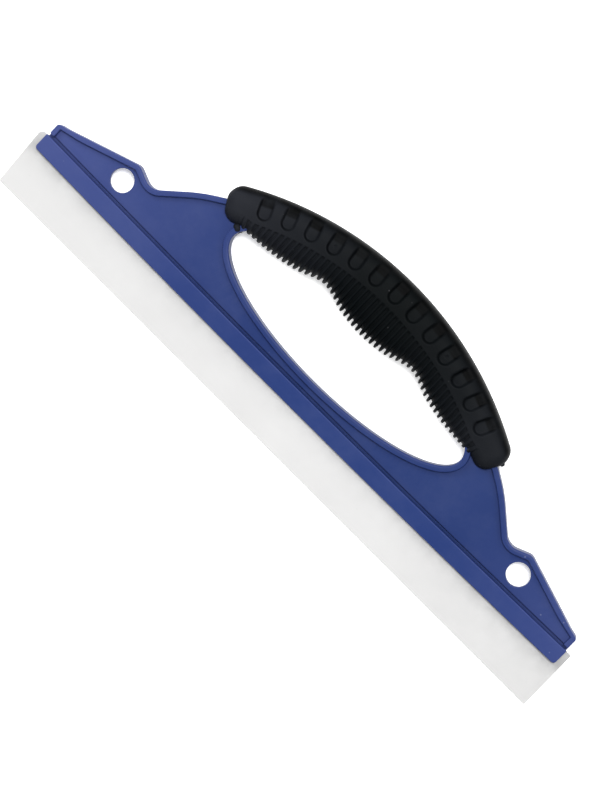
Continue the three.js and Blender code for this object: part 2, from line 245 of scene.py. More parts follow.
def flat_faces(loops, firsts):
    """Triangles that fill the flat between the first loop and the loops inside it. A triangle belongs to the flat
    when a level line from its middle crosses the loops an odd number of times."""
    points = np.vstack(loops)[:, :2]
    ahead = np.vstack([np.roll(loop, -1, axis=0) for loop in loops])[:, :2]
    starts = np.cumsum([0] + [len(loop) for loop in loops])
    owner = np.repeat(np.arange(len(loops)), np.diff(starts))
    following = np.concatenate([np.roll(np.arange(a, b), -1) for a, b in zip(starts, starts[1:])])
    sides = np.stack([np.arange(len(points)), following], 1)
    found = delaunay_2d_cdt(points.tolist(), sides.tolist(), [], 0, 1e-6, True)
    original = np.array([ids[0] for ids in found[3]])
    triangles = original[np.array(found[2])]
    x, y = points[triangles].mean(1).T[:, :, None]
    spans = (points[:, 1] > y) != (ahead[:, 1] > y)
    level = np.where(spans, ahead[:, 1] - points[:, 1], 1)
    cross_x = points[:, 0] + (y - points[:, 1]) * (ahead[:, 0] - points[:, 0]) / level
    inside = (spans & (cross_x > x)).sum(1) % 2 == 1
    a, b, c = points[triangles].transpose(1, 2, 0)
    inside &= np.abs((b[0] - a[0]) * (c[1] - a[1]) - (c[0] - a[0]) * (b[1] - a[1])) > 1e-6
    owners = owner[triangles]
    return (triangles - starts[owners] + np.array(firsts)[owners])[inside]


def plate(name, walls):
    """A solid plate from its walls, the outer one first: each is (rows, edge) from its front face to its back."""
    points, faces, first, fronts, backs = [], [], 0, [], []
    for rows, _ in walls:
        count = rows.shape[0] * rows.shape[1]
        faces += grid_faces(rows.shape[0], rows.shape[1], close_columns=True, first=first).tolist()
        fronts.append(first)
        backs.append(first + count - rows.shape[1])
        points.append(rows.reshape(-1, 3))
        first += count
    faces += flat_faces([rows[0] for rows, _ in walls], fronts).tolist()
    faces += flat_faces([rows[-1] for rows, _ in walls], backs).tolist()
    return make_object(name, np.vstack(points), faces, np.concatenate([edge.ravel() for _, edge in walls]))


# %% [markdown]
# ## The frame
# The frame is one moulding, but it is drawn as the simple solids that a pattern maker would glue together: a thin web,
# a rim along its outer edge, a rim round the hand opening, a ledge under the front strip and the jaw behind the blade.
# A Boolean union then makes them one skin, so that no wall is left inside.

# %% The plate's corners and the frame's web
RIM_Z, WEB_Z = 4.0, 1.25  # half thickness at the rims and at the web
HAND_CENTRE, HAND_X, HAND_Y = (0.0, 53.4), 66.1, 20.0
HANG_X, HANG_Y, HANG_R = 116.3, 36.7, 5.2
FRAME_HALF = 151.9  # half the plate's length
WEB_FOOT = 28.3  # where the web meets the groove above the strip

half_edge = np.array(
    [
        [-FRAME_HALF, WEB_FOOT, 0.3],
        [-FRAME_HALF, 34.75, 2.2],
        [-114.8, 46.7, 4.0],
        [-104.8, 42.5, 6.5],
        [-88.5, 56.7, 70.0],
        [0.0, 110.7, 146.0],
    ]
)
PLATE_CORNERS = np.vstack([half_edge, (half_edge * [-1, 1, 1])[-2::-1]])
plate_places = spread(rounded_outline(PLATE_CORNERS), 3.0)


def plate_edge(inset):
    """The plate's outline, moved inwards, its foot following the arch of the bar."""
    return arched(at_places(rounded_outline(PLATE_CORNERS, inset), plate_places))


def hand_edge(inset):
    """The hand opening's line; an inset here moves it into the plastic."""
    return oval(HAND_CENTRE, HAND_X, HAND_Y, inset)


def round_edge(x, y, radius, count=40):
    """A round hole's line, which an inset widens into the plastic."""
    return lambda inset: oval((x, y), radius, radius, inset, count)


web_walls = [carry(slab_wall(WEB_Z, -WEB_Z, 0.2, 0.2), path) for path in (plate_edge, hand_edge)]
web_walls += [
    carry(slab_wall(WEB_Z, -WEB_Z, 0.35, 0.35), round_edge(side * HANG_X, HANG_Y, HANG_R, 64)) for side in (-1, 1)
]
web = plate("frame_shell", web_walls)
print("web:", len(web.data.polygons), "faces")

# %% [markdown]
# ## The rims
# A rim is a closed profile: a rounded top in front and behind, an outer wall, and an inner wall that flares into the
# web. It is carried along the plate's edge, which is open where the strip sits, and right round the hand opening.


# %% The two rims
def rim_profile(width, outer_radius=0.85, inner_radius=0.5, flare=0.55):
    """A rim's section, once round: outer wall, rounded front, inner wall flaring into the web, and the same behind."""
    outer = rounding(outer_radius, RIM_Z, 1)[::-1]
    inner = rounding(inner_radius, RIM_Z, 1) * [-1, 1, 1] + [width, 0, 0]
    t = np.linspace(0, np.pi / 2, 5)[1:]
    foot_z = WEB_Z - 0.05
    foot = np.stack([width + flare * (1 - np.cos(t)), foot_z + flare * (1 - np.sin(t)), 0 * t], 1)
    front = np.vstack([outer, inner, foot])
    return np.vstack([front, (front * [1, -1, 1])[::-1]])


half_corner = CORNER_STEPS // 2  # the rim starts halfway round the first corner and ends halfway round the last
rim_places = spread(rounded_outline(PLATE_CORNERS), 1.5, closed=False)
rim_places = rim_places[
    (rim_places >= half_corner) & (rim_places <= len(PLATE_CORNERS) * CORNER_STEPS - half_corner - 1)
]


def rim_edge(inset):
    """The open part of the plate's outline, whose two ends stay level with the top of the groove."""
    line = arched(at_places(rounded_outline(PLATE_CORNERS, inset), rim_places))
    line[[0, -1], 1] = WEB_FOOT + ARCH_RISE
    line[[0, -1], 0] = np.sign(line[[0, -1], 0]) * (FRAME_HALF - inset)
    return line


def rim(name, profile, path, closed):
    """A rim as a solid: the section carried along the path, and capped where the path is open."""
    rows, edge = carry(profile, path)
    count = rows.shape[:2]
    faces = grid_faces(*count, close_rows=True, close_columns=closed).tolist()
    if not closed:
        starts = np.arange(count[0]) * count[1]
        faces += [starts.tolist(), (starts + count[1] - 1).tolist()]
    return make_object(name, rows.reshape(-1, 3), faces, edge)


outer_rim = rim("outer_rim", rim_profile(2.4), rim_edge, closed=False)
hand_rim = rim("hand_rim", rim_profile(2.6), hand_edge, closed=True)
print("rims:", len(outer_rim.data.polygons), "and", len(hand_rim.data.polygons), "faces")

# %% [markdown]
# ## The jaw and its ledge
# Behind the blade the frame ends in a flat jaw with a pocket for each screw. The pocket's wall is a stepped profile:
# the hole for the shank, the seat for the head, and the wide mouth. In front, a narrow ledge is the floor of the
# shadow groove over the strip.

# %% The jaw, the ledge and the union
JAW_Z, SLOT_Z = 4.2, 1.35  # half thickness over the jaws, and half the slot for the blade
BAR_FOOT, STRIP_TOP, JAW_TOP = 19.35, 27.1, 30.0
SCREW_X = np.arange(-3, 4) * 48.0
SCREW_Y = 23.2
SEAT_Z = -2.4


def bar_outline(foot, top, foot_radius, top_radius):
    """A long rounded rectangle whose long sides follow the arch."""
    corners = np.array(
        [
            [-ARCH_HALF, foot, foot_radius],
            [-ARCH_HALF, top, top_radius],
            [ARCH_HALF, top, top_radius],
            [ARCH_HALF, foot, foot_radius],
        ]
    )
    places = spread(rounded_outline(corners), 4.0)
    return lambda inset: arched(at_places(rounded_outline(corners, inset), places))


pocket = np.array(
    [[0.0, -SLOT_Z, 0], [0.0, SEAT_Z, 0], [1.3, SEAT_Z, 0], [1.3, -3.95, 0.6], [1.38, -4.12, 1], [1.55, -JAW_Z, 0]]
)
jaw_walls = [carry(slab_wall(-SLOT_Z, -JAW_Z, 0.25, 0.6), bar_outline(BAR_FOOT, JAW_TOP, 1.5, 0.8))]
jaw_walls += [carry(pocket, round_edge(x, SCREW_Y + arch(x), 1.4)) for x in SCREW_X]
jaw = plate("jaw", jaw_walls)

ledge_outline = bar_outline(26.55, 29.2, 0.2, 0.2)
ledge_profile = slab_wall(-0.95, -2.0, 0.1, 0.15)
ledge = plate("ledge", [carry(ledge_profile + [0.5, 0, 0], ledge_outline)])


def unite(base, others):
    """One skin from several closed solids, by Blender's Boolean union, with the result written into the base."""
    for other in others:
        modifier = base.modifiers.new("union", "BOOLEAN")
        modifier.operation, modifier.solver, modifier.object = "UNION", "MANIFOLD", other
    evaluated = base.evaluated_get(bpy.context.evaluated_depsgraph_get())
    whole = bpy.data.meshes.new_from_object(evaluated)
    base.modifiers.clear()
    base.data = whole
    for other in others:
        bpy.data.objects.remove(other)
    work = bmesh.new()
    work.from_mesh(whole)
    bmesh.ops.remove_doubles(work, verts=work.verts, dist=5e-7)
    loose = sum(1 for e in work.edges if not e.is_manifold)
    work.to_mesh(whole)
    work.free()
    whole.shade_smooth()
    whole.set_sharp_from_angle(angle=math.radians(35))
    print(f"{base.name}: {len(whole.polygons)} faces, {loose} open edges, attributes",
          [a.name for a in whole.attributes])
    return base


frame_shell = unite(web, [jaw, ledge, outer_rim, hand_rim])
even_shading(frame_shell)

# %% [markdown]
# ## The clamp strip
# A plain blue bar presses the blade against the jaw. Its face is flat and its edges are softly rounded, and that
# rounding catches the light along its full length, together with a painted highlight that follows the edge number.

# %% The clamp strip
strip_wall = slab_wall(JAW_Z, SLOT_Z, 0.55, 0.2)
clamp_bar = plate("clamp_bar", [carry(strip_wall, bar_outline(BAR_FOOT, STRIP_TOP, 1.5, 0.7))])
even_shading(clamp_bar)
print("clamp strip:", len(clamp_bar.data.polygons), "faces")

# %% [markdown]
# ## The silicone blade
# The blade is a strip that was cut from an extrusion, so its section is the same all along: parallel faces where it is
# clamped, thinning towards the working edge, whose corners are barely rounded. One closed profile carried from end to
# end gives it, and the two ends are cut slightly aslant. Many rows across let it bend smoothly when the joint turns.


# %% The blade
BLADE_TOP = 26.4
EDGE_HALF_Z, ROOT_HALF_Z, EDGE_ROUND = 0.8, 1.2, 0.25
LEFT_END = [[-5, -154.1], [26.6, -155.9], [28.0, -154.5]]  # heights and the x of each end, cut aslant by hand
RIGHT_END = [[-5, 156.1], [35, 155.1]]
# Painted shade: the blade's colour darkens beside the bar, and at its right end.
BAR_SHADE = [[8, 0], [12, 0.10], [14, 0.19], [16, 0.33], [17, 0.45], [18.2, 0.68], [20, 1]]  # heights and darkness
RIGHT_SHADE = 0.15  # how much darker the right end is


def blade_section(rows=34):
    """Half thickness over height: 1.2 above the mouth, thinning evenly to 0.8, then rounded by 0.25 at the edge.
    Returns the closed section as (y, z), up the front and down the back."""
    y = np.concatenate([[0.0, 0.04, 0.12, 0.25], np.linspace(0.8, BLADE_TOP, rows)])
    half = np.interp(y, [0, 17.8], [EDGE_HALF_Z, ROOT_HALF_Z]) - EDGE_ROUND
    half = half + np.sqrt(np.clip(EDGE_ROUND**2 - (EDGE_ROUND - np.minimum(y, EDGE_ROUND)) ** 2, 0, None))
    return np.vstack([np.stack([y, half], 1), np.stack([y, -half], 1)[::-1]])


def make_blade(stations=160):
    """x runs from the left end to the right end of its height, spaced by 0.75 t + 0.25 sin(t pi / 2) for an even t. The
    top follows the arch, and the free edge stays straight apart from a waver of 0.05 in z. The darker tone beside the
    bar and at the right end stands for soft shading that the lights alone don't give, so it is part of the colour."""
    section = blade_section()
    even = np.linspace(-1, 1, stations)
    share = (0.25 * np.sin(even * np.pi / 2) + 0.75 * even + 1) / 2
    y, share = np.meshgrid(section[:, 0], share, indexing="ij")
    z = np.repeat(section[:, 1:], stations, axis=1)
    y = y + arch(np.clip((share * 2 - 1) * 155, -152.4, 152.4)) * np.clip((y - 19) / 5, 0, 1)
    left, right = (np.interp(y, *np.transpose(end)) for end in (LEFT_END, RIGHT_END))
    x = left + (right - left) * share
    to_end = np.minimum(x - left, right - x)
    z = z * (1 - 0.18 * np.clip(1 - to_end / 0.5, 0, 1) ** 2)
    z = z + 0.05 * np.sin(x / 23.0 + 1.0) * np.clip(1 - y / 19, 0, 1)
    points = np.stack([x, y, z], -1)
    rows = len(section)
    faces = grid_faces(rows, stations, close_rows=True).tolist()
    front = np.arange(rows // 2)
    back = rows - 1 - front
    for end in (0, stations - 1):
        cap = np.stack([front[:-1], front[1:], back[1:], back[:-1]], 1) * stations + end
        faces += cap.tolist()
    # Painted shade beside the bar and toward the right end, carried in the edge number.
    shade = np.interp(y, *np.transpose(BAR_SHADE)) + RIGHT_SHADE * smoothstep((share - 0.55) / 0.4)
    return make_object("silicone_blade", points.reshape(-1, 3), faces, shade)


blade = make_blade()
print("blade:", len(blade.data.polygons), "faces")

# %% [markdown]
# ## The grip
# The grip is rubber moulded round an arched bar. Its section is a squared-off oval over the back and a plain oval on
# the finger side, and it changes along the arc. The finger side is a row of thin ribs, so the columns of the grid are
# placed on the ribs' own edges there. The thumb grooves are pressed into the finished surface by a mask that knows
# how far each point is from the nearest groove.

# %% The grip's measures
ARC_Y, BACK_R, WAIST_R = -66.3, 158.0, 144.4  # the arc's centre, its back and its widest line
GRIP_END = math.radians(31.7)
GRIP_Z, GRIP_END_Z = 10.2, 8.6  # half depth at mid-length and at the ends
END_ROUND, END_WAIST = 4.6, 4.0  # rounding of the ends, and how far the widest line climbs there
END_TILT = np.radians([0.42, 1.5])  # how far the ends reach out below, and how much less they do over the back
HALF_FOOT = 73.25  # half the length of the finger side
SQUARED = 0.55  # below 1 the section over the back is squarer than an oval
GROOVE_PITCH, GROOVE_HALF, GROOVE_LOW, GROOVE_DEPTH = math.radians(4.13), 2.8, 146.9, 1.35
GROOVE_FADE_R, GROOVE_FADE = 153.6, 3.6  # a groove gets shallower from this radius on, to nothing this much higher
GROOVE_LAST = 6  # grooves on each side of the middle one
PIN_R, PIN_SIZE, PIN_GROOVE, PIN_DEPTH = 150.4, 0.45, 3, 0.4  # ejector marks, in the third groove from the middle
RIB_PITCH, RIB_LAST = 2.6, 25  # spacing, and the number of ribs on each side of the middle one
RIB_END = 66.2  # past this x the finger side is plain
VALLEY = 0.85  # how much narrower the grip is between the ribs
FINGER_SIDE = [
    [-73.25, 55.4], [-66, 58.6], [-58, 59.2], [-48, 60.7], [-37, 63.5], [-25.5, 66.9], [-13, 64.4], [0, 63.2],
]
RIB_TIPS = [[-66.5, 57.8], [-50, 58.8], [-38, 61.1], [-25.5, 65.3], [-12, 61.9], [0, 60.8]]


def height_over(half, x):
    """The height over x of the Catmull-Rom curve through the points and their mirror images."""
    points = np.array(half + [[-p, q] for p, q in half[-2::-1]], float)
    t = np.linspace(0, len(points) - 1.000001, 900)
    i = t.astype(int)
    u = (t - i)[:, None]
    a, b, c, d = (points[np.clip(i + k, 0, len(points) - 1)] for k in (-1, 0, 1, 2))
    line = b + 0.5 * u * (c - a + u * (2 * a - 5 * b + 4 * c - d + u * (3 * (b - c) + d - a)))
    return np.interp(x, line[:, 0], line[:, 1])


# %% The grip's surface
def rib_columns():
    """Positions along the finger side: eight columns for each rib, on its crest, its shoulders and the valley."""
    offsets = np.array([-0.8, -0.62, -0.4, 0.0, 0.4, 0.62, 0.8, 1.3])
    ribs = (np.arange(-RIB_LAST, RIB_LAST + 1)[:, None] * RIB_PITCH + offsets).ravel()
    ends = np.linspace(66.8, HALF_FOOT, 24)
    return np.concatenate([-ends[::-1], [-66.3], ribs, ends])


def rib_height(x):
    """1 on a rib's crest and 0 in the valleys, with steep walls 1.4 mm apart."""
    away = np.abs((x / RIB_PITCH + 0.5) % 1 - 0.5) * RIB_PITCH
    inside = np.abs(x) < (RIB_LAST + 0.5) * RIB_PITCH
    return np.interp(away, [0.0, 0.4, 0.62, 0.8], [1.0, 0.95, 0.7, 0.0]) * inside


def section_angles(count=150):
    """Angles once round the section, spaced evenly along the line of a typical section."""
    t = np.linspace(0, 2 * np.pi, 4000)
    up = np.where(np.sin(t) > 0, 13.6 * np.abs(np.sin(t)) ** SQUARED, -13 * np.abs(np.sin(t)))
    out = np.where(np.sin(t) > 0, 9.8 * np.sign(np.cos(t)) * np.abs(np.cos(t)) ** SQUARED, 9.3 * np.cos(t))
    length = np.concatenate([[0], np.cumsum(np.hypot(np.diff(up), np.diff(out)))])
    return np.interp(np.linspace(0, length[-1], count, endpoint=False), length, t)


def groove_mask(angle, r):
    """1 inside a thumb groove, 0 outside, from the distance to a slot with a round lower end: |across| above the end's
    centre and hypot(across, up) below it, less half the width. The angle is folded onto one pitch. The place across
    the groove comes with the mask."""
    place = angle / GROOVE_PITCH
    across = (place - np.round(place)) * GROOVE_PITCH * r
    up = r - GROOVE_LOW - GROOVE_HALF
    distance = np.where(up > 0, np.abs(across), np.hypot(across, up)) - GROOVE_HALF
    return smoothstep(0.5 - distance / 1.3) * (np.abs(np.round(place)) <= GROOVE_LAST), across


def make_grip():
    """Position = arc centre + r (sin a, cos a), with r = waist + height and (height, z) on the section. On the finger
    side a column keeps its x, a = asin(x / r), and over the back it keeps its share of the arc. Near the ends a grows
    by the tilt times share^6. The grooves then press the surface in along its own normal. A darker tone is painted
    shade: it follows their left walls, their upper parts, the back and the valleys between the ribs."""
    x = rib_columns()[None, :]
    t = section_angles()[:, None]
    c, s = np.cos(t), np.sin(t)
    over = s > 0
    body = height_over(FINGER_SIDE, x)
    tips = np.where(np.abs(x) < RIB_END, height_over(RIB_TIPS, x), body)
    crest = rib_height(x)
    foot = body + (np.minimum(tips, body) - body) * crest
    share = x / HALF_FOOT
    depth = GRIP_Z + (GRIP_END_Z - GRIP_Z) * share**2
    to_end = np.minimum((1 - np.abs(share)) * GRIP_END * WAIST_R, END_ROUND)
    closing = END_ROUND - np.sqrt(np.clip(END_ROUND**2 - (END_ROUND - to_end) ** 2, 0, None))
    radial = smoothstep((np.abs(x) - 60) / 9)
    low = np.hypot(x, foot - ARC_Y)
    waist = WAIST_R + END_WAIST * smoothstep((np.abs(x) - 61) / 11)
    drop = np.maximum(waist - low - closing, 1.0)
    rise = BACK_R - waist - closing
    ribbed = 1 - smoothstep((np.abs(x) - 65.2) / 1.2)
    valley = VALLEY * ribbed * (1 - crest)
    height = np.where(over, rise * np.abs(s) ** SQUARED, -drop * np.abs(s))
    squared = np.sign(c) * np.abs(c) ** SQUARED
    z = np.where(over, (depth - closing) * squared, (depth - closing - valley * smoothstep(-s / 0.06)) * c)
    r = waist + height
    straight = np.arcsin(np.clip(x / r, -1, 1))
    along = share * GRIP_END
    finger = straight + (np.arctan2(x, foot - ARC_Y) - straight) * radial
    angle = finger + (along - finger) * smoothstep((height + 1) / 7)
    angle = angle + np.sign(share) * share**6 * (END_TILT[0] - END_TILT[1] * smoothstep((height + 2) / 14))
    groove, across = groove_mask(angle, r)
    pressed = groove * (1 - smoothstep((r - GROOVE_FADE_R) / GROOVE_FADE))
    press = pressed * GROOVE_DEPTH
    out_h, out_z = height / 13.6**2, z / 10.0**2
    size = np.hypot(out_h, out_z) + 1e-9
    r = r - press * out_h / size * over
    z = z - press * out_z / size * over
    pin = np.hypot((np.abs(angle) - PIN_GROOVE * GROOVE_PITCH) * r, r - PIN_R) * np.where(z > 0, 1, 9)
    z = z - PIN_DEPTH * smoothstep(1.5 - pin / PIN_SIZE)
    points = np.stack([r * np.sin(angle), ARC_Y + r * np.cos(angle), z], -1)
    rows, columns = points.shape[:2]
    faces = grid_faces(rows, columns, close_rows=True).tolist()
    centres = points[:, [0, -1]].mean(0)
    for k, column in enumerate((0, columns - 1)):
        ring = np.arange(rows) * columns + column
        hub = np.full(rows, rows * columns + k)
        faces += np.stack([ring, np.roll(ring, -1), hub], 1).tolist()
    # Painted shade on the grooves' left walls and upper parts, over the back, and in the valleys between the ribs.
    wall = 4 * pressed * (1 - pressed) * smoothstep(0.75 - across / GROOVE_HALF / 2)
    above = groove * smoothstep((r - 151.8) / 0.8)
    back = smoothstep((r - 154.5) / 2.5)
    shade = np.where(over, np.maximum.reduce([wall, above, back]), 0.15 * ribbed * (1 - crest))
    shade = np.append(shade, [0, 0])
    return make_object("rubber_grip", np.vstack([points.reshape(-1, 3), centres]), faces, shade, 48)


grip = make_grip()
print("grip:", len(grip.data.polygons), "faces")

# %% [markdown]
# ## Moulding flash on the grip
# Where the rubber was squeezed out at the ends of the mould it left two small tabs. Each is a rounded pebble, a sphere
# whose powers are changed so that its sides flatten.


# %% The two tabs of flash
def pebble(name, centre, half, turn_degrees=0.0, power=0.75, rows=20, columns=32):
    """Half sizes times powers of the sphere's sines and cosines, turned about z and moved to the centre."""
    around = np.linspace(0, 2 * np.pi, columns, endpoint=False)
    v, u = np.meshgrid(np.linspace(-np.pi / 2, np.pi / 2, rows)[1:-1], around, indexing="ij")
    cu, su, cv, sv = (np.sign(a) * np.abs(a) ** power for a in (np.cos(u), np.sin(u), np.cos(v), np.sin(v)))
    flat = np.stack([cv * cu, cv * su, sv], -1)
    points = np.vstack([flat.reshape(-1, 3), [[0, 0, -1], [0, 0, 1]]]) * half
    a = math.radians(turn_degrees)
    points = points @ np.array([[math.cos(a), math.sin(a), 0], [-math.sin(a), math.cos(a), 0], [0, 0, 1]]) + centre
    faces = grid_faces(rows - 2, columns, close_columns=True).tolist()
    first = np.arange(columns)
    faces += np.stack([first, np.roll(first, -1), np.full(columns, (rows - 2) * columns)], 1).tolist()
    last = first + (rows - 3) * columns
    faces += np.stack([last, np.roll(last, -1), np.full(columns, (rows - 2) * columns + 1)], 1).tolist()
    return make_object(name, points, faces, np.zeros(len(points)))


flash_left = pebble("flash_left", (-67.3, 57.0, 0.2), (2.3, 1.9, 4.55), -35)
flash_right = pebble("flash_right", (79.2, 64.8, 1.5), (1.3, 1.0, 2.2), -25)
print("flash: 2 tabs")

# %% [markdown]
# ## The screws
# Each screw is turned, so a profile spun about its axis would do, but the cross recess isn't round. The head is
# therefore a height over the disc: a shallow dome, less a cross whose arms are found from the distance to each axis.


# %% The screws
def make_screw(name, x, y, turn):
    """Rings of growing radius for the head's top, then its rim, underside and shank. Over the top the height is a
    dome, 0.35 (1 - (r / R)^2), less the recess, which is deepest in the middle and slopes up along each arm."""
    head, top, under, shank, tip = 2.3, -4.0, -2.55, 1.1, 3.15
    rings = np.concatenate([np.linspace(0.06, 1.9, 16), [2.05, 2.2]])
    a = np.linspace(0, 2 * np.pi, 72, endpoint=False)
    r, a2 = np.meshgrid(rings, a, indexing="ij")
    p, q = np.abs(r * np.cos(a2 - turn)), np.abs(r * np.sin(a2 - turn))
    arm = np.minimum(p, q)
    reach = np.maximum(p, q)
    cut = (1 - smoothstep((arm - 0.24) / 0.12)) * (1 - smoothstep((reach - 1.2) / 0.2)) * (0.95 - 0.35 * reach)
    z = top + 0.22 * (r / head) ** 2 + cut
    outer_r = np.array([head, head, shank + 0.15, shank, shank, 0.5, 0.05])
    outer_z = np.array([top + 0.5, under, under, under + 0.15, tip - 1.0, tip - 0.15, tip])
    r = np.vstack([r, np.repeat(outer_r[:, None], len(a), 1)])
    z = np.vstack([z, np.repeat(outer_z[:, None], len(a), 1)])
    points = np.stack([x + r * np.cos(a), y + r * np.sin(a), z], -1)
    rows = len(points)
    faces = grid_faces(rows, len(a), close_columns=True).tolist()
    faces += [np.arange(len(a)).tolist(), (np.arange(len(a)) + (rows - 1) * len(a)).tolist()]
    return make_object(name, points.reshape(-1, 3), faces, np.zeros(rows * len(a)), 40)


screws = [make_screw(f"pan_screw_{i + 1}", x, SCREW_Y + arch(x), 0.4 + 1.1 * i) for i, x in enumerate(SCREW_X)]
print("screws:", len(screws))

# %% [markdown]
# ## Node groups
# Four effects are used by more than one material, so each is a node group: fine moulding grain, dust, the tone that
# follows the edge number, which is painted highlight and painted shade, and the paler ends, which are partly painted
# light. The last is made twice, because the grip's ends sit nearer the middle than the frame's. A group gives out
# masks and heights only, and the shader itself stays in the material.


# %% Node helpers
def new_group(name, inputs, outputs):
    """An empty shader node group with named sockets: (name, kind, default) for each input."""
    group = bpy.data.node_groups.new(name, "ShaderNodeTree")
    for label, kind, default in inputs:
        socket = group.interface.new_socket(label, in_out="INPUT", socket_type=kind)
        socket.default_value = default
    for label, kind in outputs:
        group.interface.new_socket(label, in_out="OUTPUT", socket_type=kind)
    return group, group.nodes.new("NodeGroupInput"), group.nodes.new("NodeGroupOutput")


def add(tree, kind, links=None, **settings):
    """A node with its settings; links maps an input's name or number to a value or to another node's socket."""
    node = tree.nodes.new(kind)
    for key, value in settings.items():
        setattr(node, key, value)
    for key, value in (links or {}).items():
        if isinstance(value, bpy.types.NodeSocket):
            tree.links.new(value, node.inputs[key])
        else:
            node.inputs[key].default_value = value
    return node


def ramp(tree, value, stops):
    """A colour ramp fed by a value: stops are (position, grey or colour)."""
    node = add(tree, "ShaderNodeValToRGB", {0: value})
    elements = node.color_ramp.elements
    while len(elements) < len(stops):
        elements.new(0.5)
    for element, (position, shade) in zip(elements, stops):
        element.position = position
        element.color = (*shade, 1) if isinstance(shade, tuple) else (shade, shade, shade, 1)
    return node.outputs["Color"]


# %% The groups
def grain_group():
    """Fine grain: two sizes of noise, as a height round 0.5, with a slow tone beside it for uneven colour."""
    group, inp, out = new_group(
        "moulding_grain",
        [("Scale", "NodeSocketFloat", 900.0), ("Coarse", "NodeSocketFloat", 0.4)],
        [("Height", "NodeSocketFloat"), ("Tone", "NodeSocketFloat")],
    )
    place = add(group, "ShaderNodeTexCoord").outputs["Object"]
    fine = add(group, "ShaderNodeTexNoise", {"Vector": place, "Scale": inp.outputs["Scale"], "Detail": 3.0})
    wide_scale = add(group, "ShaderNodeMath", {0: inp.outputs["Scale"], 1: 0.12}, operation="MULTIPLY")
    wide = add(group, "ShaderNodeTexNoise", {"Vector": place, "Scale": wide_scale.outputs[0], "Detail": 2.0})
    both = add(group, "ShaderNodeMix", {"Factor": inp.outputs["Coarse"], 2: fine.outputs[0], 3: wide.outputs[0]})
    slow = add(group, "ShaderNodeTexNoise", {"Vector": place, "Scale": 22.0, "Detail": 4.0, "Roughness": 0.6})
    group.links.new(both.outputs[0], out.inputs["Height"])
    group.links.new(slow.outputs[0], out.inputs["Tone"])
    return group


def dust_group():
    """Dust: sparse specks from the distance to scattered points, and a faint haze that gathers in patches."""
    group, inp, out = new_group(
        "dust",
        [("Scale", "NodeSocketFloat", 260.0), ("Specks", "NodeSocketFloat", 0.3), ("Haze", "NodeSocketFloat", 0.1)],
        [("Mask", "NodeSocketFloat")],
    )
    place = add(group, "ShaderNodeTexCoord").outputs["Object"]
    cells = add(group, "ShaderNodeTexVoronoi", {"Vector": place, "Scale": inp.outputs["Scale"], "Randomness": 1.0})
    dots = ramp(group, cells.outputs["Distance"], [(0.05, 1.0), (0.11, 0.0)])
    chosen = add(group, "ShaderNodeSeparateColor", {0: cells.outputs["Color"]})
    rare = add(group, "ShaderNodeMath", {0: chosen.outputs[0], 1: 0.9}, operation="GREATER_THAN")
    specks = add(group, "ShaderNodeMath", {0: dots, 1: rare.outputs[0]}, operation="MULTIPLY")
    specks = add(group, "ShaderNodeMath", {0: specks.outputs[0], 1: inp.outputs["Specks"]}, operation="MULTIPLY")
    patches = add(group, "ShaderNodeTexNoise", {"Vector": place, "Scale": 45.0, "Detail": 5.0, "Roughness": 0.7})
    haze = ramp(group, patches.outputs[0], [(0.45, 0.0), (0.75, 1.0)])
    haze = add(group, "ShaderNodeMath", {0: haze, 1: inp.outputs["Haze"]}, operation="MULTIPLY")
    total = add(group, "ShaderNodeMath", {0: specks.outputs[0], 1: haze.outputs[0]}, operation="ADD", use_clamp=True)
    group.links.new(total.outputs[0], out.inputs["Mask"])
    return group


def edge_group():
    """Edge tone: the edge number of the surface, broken up by noise so that the line comes and goes. On the blue
    edges it is a painted highlight that also stands for wear, and on the blade and the grip it is painted shade.
    """
    group, inp, out = new_group(
        "edge_wear_and_painted_light",
        [("Edge", "NodeSocketFloat", 0.0), ("Amount", "NodeSocketFloat", 0.5)],
        [("Mask", "NodeSocketFloat")],
    )
    place = add(group, "ShaderNodeTexCoord").outputs["Object"]
    broken = add(group, "ShaderNodeTexNoise", {"Vector": place, "Scale": 160.0, "Detail": 3.0})
    broken = ramp(group, broken.outputs[0], [(0.3, 0.45), (0.65, 1.0)])
    mask = add(group, "ShaderNodeMath", {0: inp.outputs["Edge"], 1: broken}, operation="MULTIPLY")
    mask = add(group, "ShaderNodeMath", {0: mask.outputs[0], 1: inp.outputs["Amount"]}, operation="MULTIPLY")
    group.links.new(mask.outputs[0], out.inputs["Mask"])
    return group


def ends_group(name, stops):
    """Paler ends: a mask that follows x along the tool through the stops, shifted a little by slow noise so that it
    isn't ruled. The paler ends are partly painted light, brighter than the middle, and partly the tool's own colour."""
    group, inp, out = new_group(name, [("Scale", "NodeSocketFloat", 30.0)], [("Mask", "NodeSocketFloat")])
    place = add(group, "ShaderNodeTexCoord").outputs["Object"]
    along = add(group, "ShaderNodeSeparateXYZ", {0: place}).outputs["X"]
    noise = add(group, "ShaderNodeTexNoise", {"Vector": place, "Scale": inp.outputs["Scale"], "Detail": 3.0})
    along = add(group, "ShaderNodeMapRange", {0: along, 1: -0.155, 2: 0.155, 3: -0.03, 4: 0.97})
    amount = {0: noise.outputs[0], 1: 0.06, 2: along.outputs[0]}
    shifted = add(group, "ShaderNodeMath", amount, operation="MULTIPLY_ADD")
    mask = ramp(group, shifted.outputs[0], stops)
    group.links.new(mask, out.inputs["Mask"])
    return group


GRAIN, DUST, EDGE = grain_group(), dust_group(), edge_group()
